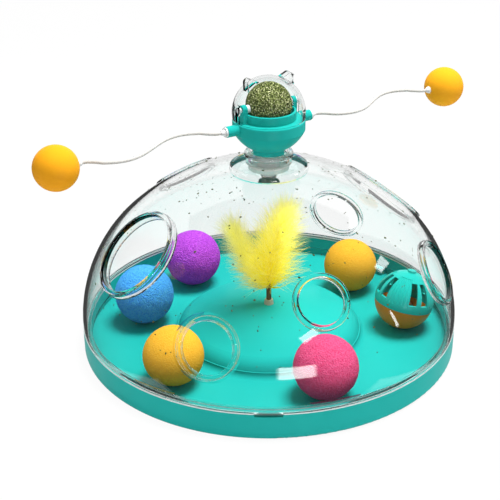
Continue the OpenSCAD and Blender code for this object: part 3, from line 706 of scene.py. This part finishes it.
dress("jingle_bell", plated_metal("bell_copper", (0.32, 0.13, 0.05), (0.45, 0.22, 0.09), 0.25))
dress("bell_pellet", plated_metal("pellet_steel", (0.45, 0.45, 0.46), (0.6, 0.6, 0.61), 0.3))


# Dome: clear plastic moulded in one piece, with rolled lips round the paw holes, a low round
# hub on top and a skirt that drops into the tray. The bearing cup in the hub is the same clear
# plastic, pressed in from above.
def wall_normal_group(half_width, height, shoulder, foot):
    """Exact normal of the dome's two-arc wall, for the smooth faces between holes and hub."""
    crown = ((half_width - shoulder) ** 2 + height ** 2 - shoulder ** 2) / (2 * (height - shoulder))
    group, start, end = make_group("dome_wall_normal", [("Normal", "NodeSocketVector")], [])
    tree_nodes, link = group.nodes, group.links.new
    place = tree_nodes.new("ShaderNodeTexCoord").outputs["Object"]

    def step(operation, *parts, kind="ShaderNodeMath", out=0):
        """One sum on the given values or sockets."""
        made = tree_nodes.new(kind)
        made.operation = operation
        for i, part in enumerate(parts):
            if isinstance(part, bpy.types.NodeSocket):
                link(part, made.inputs[i])
            else:
                made.inputs[i].default_value = part
        return made.outputs[out]

    split = tree_nodes.new("ShaderNodeSeparateXYZ")
    link(place, split.inputs[0])
    flat = tree_nodes.new("ShaderNodeCombineXYZ")
    link(split.outputs["X"], flat.inputs["X"])
    link(split.outputs["Y"], flat.inputs["Y"])
    ring = step("LENGTH", flat.outputs[0], kind="ShaderNodeVectorMath", out=1)
    rise = step("SUBTRACT", split.outputs["Z"], foot)
    inset, drop = half_width - shoulder, crown - height
    past_inset = step("MULTIPLY", step("SUBTRACT", ring, inset), drop)
    lower = step("GREATER_THAN", past_inset, step("MULTIPLY", rise, inset))
    out_part = step("SUBTRACT", 1.0, step("DIVIDE", step("MULTIPLY", lower, inset), ring))
    up_part = step("ADD", rise, step("MULTIPLY", step("SUBTRACT", 1.0, lower), drop))
    level = step("SCALE", flat.outputs[0], kind="ShaderNodeVectorMath")
    link(out_part, level.node.inputs["Scale"])
    upright = tree_nodes.new("ShaderNodeCombineXYZ")
    link(up_part, upright.inputs["Z"])
    outward = step("ADD", level, upright.outputs[0], kind="ShaderNodeVectorMath")
    exact = step("NORMALIZE", outward, kind="ShaderNodeVectorMath")
    world_space = tree_nodes.new("ShaderNodeVectorTransform")
    world_space.vector_type = "NORMAL"
    world_space.convert_from = "OBJECT"
    world_space.convert_to = "WORLD"
    link(exact, world_space.inputs[0])
    surface = tree_nodes.new("ShaderNodeNewGeometry")
    side = step("DOT_PRODUCT", world_space.outputs[0], surface.outputs["True Normal"],
                kind="ShaderNodeVectorMath", out=1)
    turned = step("SCALE", world_space.outputs[0], kind="ShaderNodeVectorMath")
    link(step("SIGN", side), turned.node.inputs["Scale"])
    smooth = step("GREATER_THAN", step("ABSOLUTE", side), 0.988)
    chosen = tree_nodes.new("ShaderNodeMix")
    chosen.data_type = "VECTOR"
    link(smooth, chosen.inputs["Factor"])
    link(surface.outputs["Normal"], chosen.inputs[4])
    link(turned, chosen.inputs[5])
    link(chosen.outputs[1], end.inputs["Normal"])
    return group


def clear_plastic(name, face_tint, gloss, edge_shade_from):
    """Clear plastic with painted shade where a wall is seen edge on, that lets lamp light through."""
    material, tree_nodes, link, skin = new_material(name)
    skin.inputs["Transmission Weight"].default_value = 1.0
    skin.inputs["IOR"].default_value = 1.45
    skin.inputs["Specular Tint"].default_value = (gloss, gloss, gloss, 1.0)
    turn = tree_nodes.new("ShaderNodeLayerWeight")
    turn.inputs["Blend"].default_value = 0.5
    tint = tree_nodes.new("ShaderNodeValToRGB")
    tint.color_ramp.elements[0].position = edge_shade_from
    tint.color_ramp.elements[0].color = (*face_tint, 1.0)
    # Painted shade: the tint runs to a dark grey where a wall is seen edge on, for the dark outlines that
    # bent light gives the clear walls.
    tint.color_ramp.elements[1].position = 0.98
    tint.color_ramp.elements[1].color = (0.38, 0.42, 0.41, 1.0)
    link(turn.outputs["Facing"], tint.inputs["Fac"])
    link(tint.outputs["Color"], skin.inputs["Base Color"])
    haze = tree_nodes.new("ShaderNodeGroup")
    haze.node_tree = moulded_skin
    haze.inputs["Drift Scale"].default_value = 60.0
    rough_range(tree_nodes, link, haze.outputs["Tone"], 0.0, 0.02, skin.inputs["Roughness"])
    open_air = tree_nodes.new("ShaderNodeBsdfTransparent")
    open_air.inputs["Color"].default_value = (0.97, 0.98, 0.98, 1.0)
    rays = tree_nodes.new("ShaderNodeLightPath")
    passing = tree_nodes.new("ShaderNodeMath")
    passing.operation = "MAXIMUM"
    link(rays.outputs["Is Shadow Ray"], passing.inputs[0])
    link(rays.outputs["Is Diffuse Ray"], passing.inputs[1])
    mix = tree_nodes.new("ShaderNodeMixShader")
    link(passing.outputs[0], mix.inputs[0])
    link(skin.outputs[0], mix.inputs[1])
    link(open_air.outputs[0], mix.inputs[2])
    link(mix.outputs[0], tree_nodes["Material Output"].inputs["Surface"])
    return material


upright_only, level_only, all_ways = (0.0, 0.0, 1.0), (1.0, 1.0, 0.0), (1.0, 1.0, 1.0)


def lay_over(material, axes, start, stop, share, kind, centre=(0.0, 0.0, 0.0)):
    """Mixes a second shader into a clear plastic where the distance from a place, measured with
    the weights in axes, lies between two values. Returns that shader."""
    tree_nodes, link = material.node_tree.nodes, material.node_tree.links.new
    place = tree_nodes.new("ShaderNodeTexCoord")
    away = tree_nodes.new("ShaderNodeVectorMath")
    away.operation = "SUBTRACT"
    away.inputs[1].default_value = centre
    link(place.outputs["Object"], away.inputs[0])
    kept = tree_nodes.new("ShaderNodeVectorMath")
    kept.operation = "MULTIPLY"
    kept.inputs[1].default_value = axes
    link(away.outputs[0], kept.inputs[0])
    reach = tree_nodes.new("ShaderNodeVectorMath")
    reach.operation = "LENGTH"
    link(kept.outputs[0], reach.inputs[0])
    band = tree_nodes.new("ShaderNodeMath")
    band.operation = "COMPARE"
    band.inputs[1].default_value = (start + stop) / 2
    band.inputs[2].default_value = (stop - start) / 2
    link(reach.outputs["Value"], band.inputs[0])
    cover = tree_nodes.new("ShaderNodeMath")
    cover.operation = "MULTIPLY"
    cover.inputs[1].default_value = share
    link(band.outputs[0], cover.inputs[0])
    layer = tree_nodes.new(kind)
    end = tree_nodes["Material Output"].inputs["Surface"]
    mix = tree_nodes.new("ShaderNodeMixShader")
    link(cover.outputs[0], mix.inputs[0])
    link(end.links[0].from_socket, mix.inputs[1])
    link(layer.outputs[0], mix.inputs[2])
    link(mix.outputs[0], end)
    return layer


def add_white_band(material, bottom, top, share, low, high):
    """Whitens clear plastic between two heights with a fine white speckle."""
    white_layer = lay_over(material, upright_only, bottom, top, share, "ShaderNodeBsdfDiffuse")
    tree_nodes, link = material.node_tree.nodes, material.node_tree.links.new
    speckle = tree_nodes.new("ShaderNodeTexNoise")
    speckle.inputs["Scale"].default_value = 1400.0
    link(tree_nodes.new("ShaderNodeTexCoord").outputs["Object"], speckle.inputs["Vector"])
    tone_ramp(tree_nodes, link, speckle.outputs["Fac"], low, high, white_layer.inputs["Color"])


dome_half_width, dome_height, dome_shoulder, dome_foot = 0.130, 0.1105, 0.098, 0.0185
straight_through = "ShaderNodeBsdfTransparent"
dome_clear = clear_plastic("dome_clear", (0.975, 0.985, 0.98), 1.0, 0.72)
dome_tree = dome_clear.node_tree
dome_normal = dome_tree.nodes.new("ShaderNodeGroup")
dome_normal.node_tree = wall_normal_group(dome_half_width, dome_height, dome_shoulder, dome_foot)
dome_tree.links.new(dome_normal.outputs["Normal"], dome_tree.nodes["Principled BSDF"].inputs["Normal"])
# Painted highlight: a thin white band in the dome's foot stands for the bright line of light along its
# bottom edge.
add_white_band(dome_clear, dome_foot - 0.0001, dome_foot + 0.0009, 0.9, (0.86, 0.97, 0.95), (0.95, 1.0, 0.99))

# Where the clear plastic would bend light to black, part of it goes straight on: in the hub, at
# the front of the dome's foot and round the small hole at the front left.
hub_reach = 0.0258
front_foot = (0.0, -dome_half_width, 0.0221)
front_hole = (-0.0378, -0.1162, 0.0568)
lay_over(dome_clear, level_only, 0.0, hub_reach, 0.85, straight_through)
lay_over(dome_clear, (0.18, 0.3, 8.0), 0.0, 0.021, 0.75, straight_through, front_foot)
notch = (0.0, -dome_half_width, dome_foot)
# Painted shade: a dark tone in the dome's foot at the finger notch stands for the shadowed gap under the
# dome's edge there.
painted_notch_shade = lay_over(dome_clear, (1.0, 2.5, 8.0), 0.0, 0.0095, 0.85, "ShaderNodeBsdfDiffuse", notch)
painted_notch_shade.inputs["Color"].default_value = (0.01, 0.10, 0.09, 1.0)
lay_over(dome_clear, all_ways, 0.0, 0.022, 0.6, straight_through, front_hole)
dress("dome_shell", dome_clear)
neck_foot, cup_foot, cup_top = 0.1, 0.1268, 0.1312
cup_clear = clear_plastic("cup_clear", (0.975, 0.985, 0.98), 1.0, 0.72)
lay_over(cup_clear, upright_only, neck_foot, cup_foot, 0.8, straight_through)
add_white_band(cup_clear, cup_foot, cup_top, 0.75, (0.75, 0.82, 0.75), (1.0, 1.0, 0.98))
dress("bearing_cup", cup_clear)

# Head: a turquoise moulding that turns on top of the dome. Its white spindle runs down
# through the bearing cup, and a dark cap pressed on below keeps it there.
head_turquoise = moulded_plastic("turquoise_moulding", (0.012, 0.44, 0.39), (0.018, 0.50, 0.44), 0.35)
dress("head_bowl", head_turquoise)
white_plastic = moulded_plastic("white_plastic", (0.78, 0.79, 0.79), (0.84, 0.85, 0.85), 0.3)
dress("head_spindle", white_plastic)
dress("spindle_cap", moulded_plastic("cap_green", (0.005, 0.045, 0.03), (0.008, 0.065, 0.045), 0.3))

# Arms: springy steel wire with a white coat, bent level into an S. A white plug holds it
# in the head's tube, and a small ferrule fixes the orange ball at its end.
for node in ("arm_plug_left", "arm_plug_right", "ball_ferrule_left", "ball_ferrule_right"):
    dress(node, white_plastic)
arm_orange = moulded_plastic("arm_orange", (0.93, 0.385, 0.012), (0.99, 0.465, 0.02), 0.45, dent=0.25)
dress("arm_ball_left", arm_orange)
dress("arm_ball_right", arm_orange)

ball_place = centre_of("arm_ball_right")[0]
arm_turn = math.atan2(ball_place.y, ball_place.x)
arm_height = ball_place.z
wire_from, bend_from, wire_to = 0.0345, 0.0364, 0.1316
bend_sway, straight_ends = 0.011, 9


def wire_point(side, share):
    """Place on a wire's centre line: one S wave, drawn out straight at both ends."""
    x = wire_from + (wire_to - wire_from) * share
    t = min(1.0, max(0.0, (x - bend_from) / (wire_to - bend_from)))
    y = -bend_sway * math.sin(2 * math.pi * t) * min(1.0, straight_ends * t, straight_ends * (1 - t))
    turn = arm_turn if side > 0 else arm_turn + math.pi
    across, along = math.cos(turn), math.sin(turn)
    return Vector((x * across - y * along, x * along + y * across, arm_height))


def wire_tree():
    """Round wire swept along a route, closed at both ends."""
    t = NodeTree("coated_wire", [
        ("Radius", "NodeSocketFloat"), ("Sides", "NodeSocketInt"), ("Coat", "NodeSocketMaterial")])
    curve = t.add("GeometryNodeMeshToCurve", Mesh=t.value("Geometry"))
    ring = t.add("GeometryNodeCurvePrimitiveCircle", Resolution=t.value("Sides"), Radius=t.value("Radius"))
    tube = t.add("GeometryNodeCurveToMesh", Curve=curve.outputs[0], Profile_Curve=ring.outputs[0],
                 Fill_Caps=True)
    smooth = t.add("GeometryNodeSetShadeSmooth", Geometry=tube.outputs[0])
    t.finish(smooth.outputs[0], "Coat")
    return t


coated_wire = wire_tree()
wire_coat = moulded_plastic("wire_coat", (0.56, 0.55, 0.52), (0.64, 0.63, 0.60), 0.35)
for side, word in ((-1, "left"), (1, "right")):
    route = path_object("route_" + word, [wire_point(side, i / 120) for i in range(121)])
    wire = coated_wire.grow("coated_wire_" + word, route, Radius=0.00105, Sides=14, Coat=wire_coat)
    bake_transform(wire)
    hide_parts("arm_wire_" + word)

# Catnip ball: pressed catnip, a mass of green and straw-coloured flakes, on a white axle
# between the head's posts.
dress("catnip_axle", white_plastic)


def catnip_material():
    """Dry leaf in four greens, from stem-dark to straw, one for each flake."""
    material, tree_nodes, link, skin = new_material("catnip_flakes")
    fleck = tree_nodes.new("ShaderNodeAttribute")
    fleck.attribute_name = "fleck"
    ramp = tree_nodes.new("ShaderNodeValToRGB")
    ramp.color_ramp.elements[0].color = (0.045, 0.058, 0.014, 1.0)
    ramp.color_ramp.elements[1].color = (0.98, 0.96, 0.56, 1.0)
    for place, paint in ((0.45, (0.20, 0.25, 0.06, 1.0)), (0.8, (0.44, 0.49, 0.18, 1.0))):
        ramp.color_ramp.elements.new(place).color = paint
    link(fleck.outputs["Fac"], ramp.inputs["Fac"])
    link(ramp.outputs["Color"], skin.inputs["Base Color"])
    skin.inputs["Roughness"].default_value = 0.8
    return material


catnip_flakes = catnip_material()


def flake_tree():
    """Flakes pressed flat on a ball, each turned and tinted by chance."""
    t = NodeTree("pressed_flakes", [
        ("Flake", "NodeSocketObject"), ("Density", "NodeSocketFloat"), ("Size", "NodeSocketFloat"),
        ("Seed", "NodeSocketInt"), ("Flake Material", "NodeSocketMaterial")])
    spots = t.add("GeometryNodeDistributePointsOnFaces", {"distribute_method": "RANDOM"},
                  Mesh=t.value("Geometry"), Density=t.value("Density"), Seed=t.value("Seed"))
    facing = t.vector("ADD", spots.outputs["Normal"], t.wild(0.55))
    aligned = t.add("FunctionNodeAlignRotationToVector", {"axis": "Z"}, Vector=facing)
    turned = t.spun(aligned.outputs[0], t.chance(0.0, 6.283, 5.0))
    size = t.math("MULTIPLY", t.chance(0.45, 1.0, 9.0), t.value("Size"))
    flake = t.add("GeometryNodeObjectInfo", Object=t.value("Flake"))
    placed = t.add("GeometryNodeInstanceOnPoints", Points=spots.outputs[0],
                   Instance=flake.outputs["Geometry"], Rotation=turned, Scale=size)
    tinted = t.tagged(placed.outputs[0], "fleck", t.chance(0.0, 1.0, 2.0))
    joined = t.add("GeometryNodeJoinGeometry")
    t.tree.links.new(tinted, joined.inputs[0])
    t.tree.links.new(t.value("Geometry"), joined.inputs[0])
    t.finish(joined.outputs[0], "Flake Material")
    return t


def ball_object(name, subdivisions, radius, place):
    """Plain rounded mesh, placed in its own coordinates, for a tree to work on or copy."""
    work = bmesh.new()
    bmesh.ops.create_icosphere(work, subdivisions=subdivisions, radius=radius, matrix=place)
    mesh = bpy.data.meshes.new(name)
    work.to_mesh(mesh)
    work.free()
    made = bpy.data.objects.new(name, mesh)
    scene.collection.objects.link(made)
    return made


catnip_centre, catnip_radius = centre_of("catnip_ball")
flake_height = 0.0007
core = ball_object("catnip_core", 5, catnip_radius - flake_height, Matrix.Translation(catnip_centre))
flake_outline = [(-0.5, 0, 0), (-0.15, -0.28, 0.08), (0.3, -0.2, 0.05), (0.55, 0.02, 0.0),
                 (0.2, 0.26, 0.07), (-0.2, 0.22, 0.1)]
flake_shape = mesh_object("catnip_flake", flake_outline, faces=[(0, 1, 2, 3, 4, 5)])
catnip = flake_tree().grow("pressed_catnip", core, Flake=flake_shape, Density=3000000.0, Size=0.0014,
                           Seed=4, Flake_Material=catnip_flakes)
bpy.data.objects.remove(flake_shape)
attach(catnip, "catnip")
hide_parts("catnip_ball")


# Catnip crumbs: dry dust that falls off the catnip ball and lies scattered over the top of the
# dome. The crumbs cling to the plastic, a few large ones among many small.
def crumb_tree():
    """Crumbs scattered where a surface faces up, each lying flat, turned and tinted by chance."""
    t = NodeTree("scattered_crumbs", [
        ("Crumb", "NodeSocketObject"), ("Density", "NodeSocketFloat"), ("Size", "NodeSocketFloat"),
        ("Seed", "NodeSocketInt"), ("Crumb Material", "NodeSocketMaterial")])
    normal = t.add("GeometryNodeInputNormal").outputs[0]
    up = t.add("ShaderNodeSeparateXYZ", Vector=normal).outputs["Z"]
    spots = t.add("GeometryNodeDistributePointsOnFaces", {"distribute_method": "RANDOM"},
                  Mesh=t.value("Geometry"), Selection=t.math("GREATER_THAN", up, 0.3),
                  Density=t.value("Density"), Seed=t.value("Seed"))
    turned = t.spun(spots.outputs["Rotation"], t.chance(0.0, 6.283, 5.0))
    few_large = t.math("MULTIPLY", 0.5, t.math("POWER", t.chance(0.0, 1.0, 9.0), 3.0))
    size = t.math("MULTIPLY", t.math("ADD", 0.4, few_large), t.value("Size"))
    crumb = t.add("GeometryNodeObjectInfo", Object=t.value("Crumb"))
    placed = t.add("GeometryNodeInstanceOnPoints", Points=spots.outputs[0],
                   Instance=crumb.outputs["Geometry"], Rotation=turned, Scale=size)
    t.finish(t.tagged(placed.outputs[0], "fleck", t.chance(0.0, 0.12, 2.0)), "Crumb Material")
    return t


crumb_shape = ball_object("crumb_lump", 1, 0.5, Matrix.Diagonal((1.0, 0.7, 0.45, 1.0)))
dome_top = bpy.data.objects.new("dome_top", nodes["dome_shell"].data.copy())
scene.collection.objects.link(dome_top)
crumbs = crumb_tree().grow("catnip_crumbs", dome_top, Crumb=crumb_shape, Density=5500.0, Size=0.0024,
                           Seed=8, Crumb_Material=catnip_flakes)
bpy.data.objects.remove(crumb_shape)
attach(crumbs, "dome")

# Cover: a thin clear globe with two round-tipped ears that keeps the catnip ball in its bowl.
# It is moulded from the same clear plastic as the dome, and lifts off straight up.
cover_clear = clear_plastic("cover_clear", (0.96, 0.975, 0.97), 0.0, 0.45)
dress("cat_ear_cover", cover_clear)
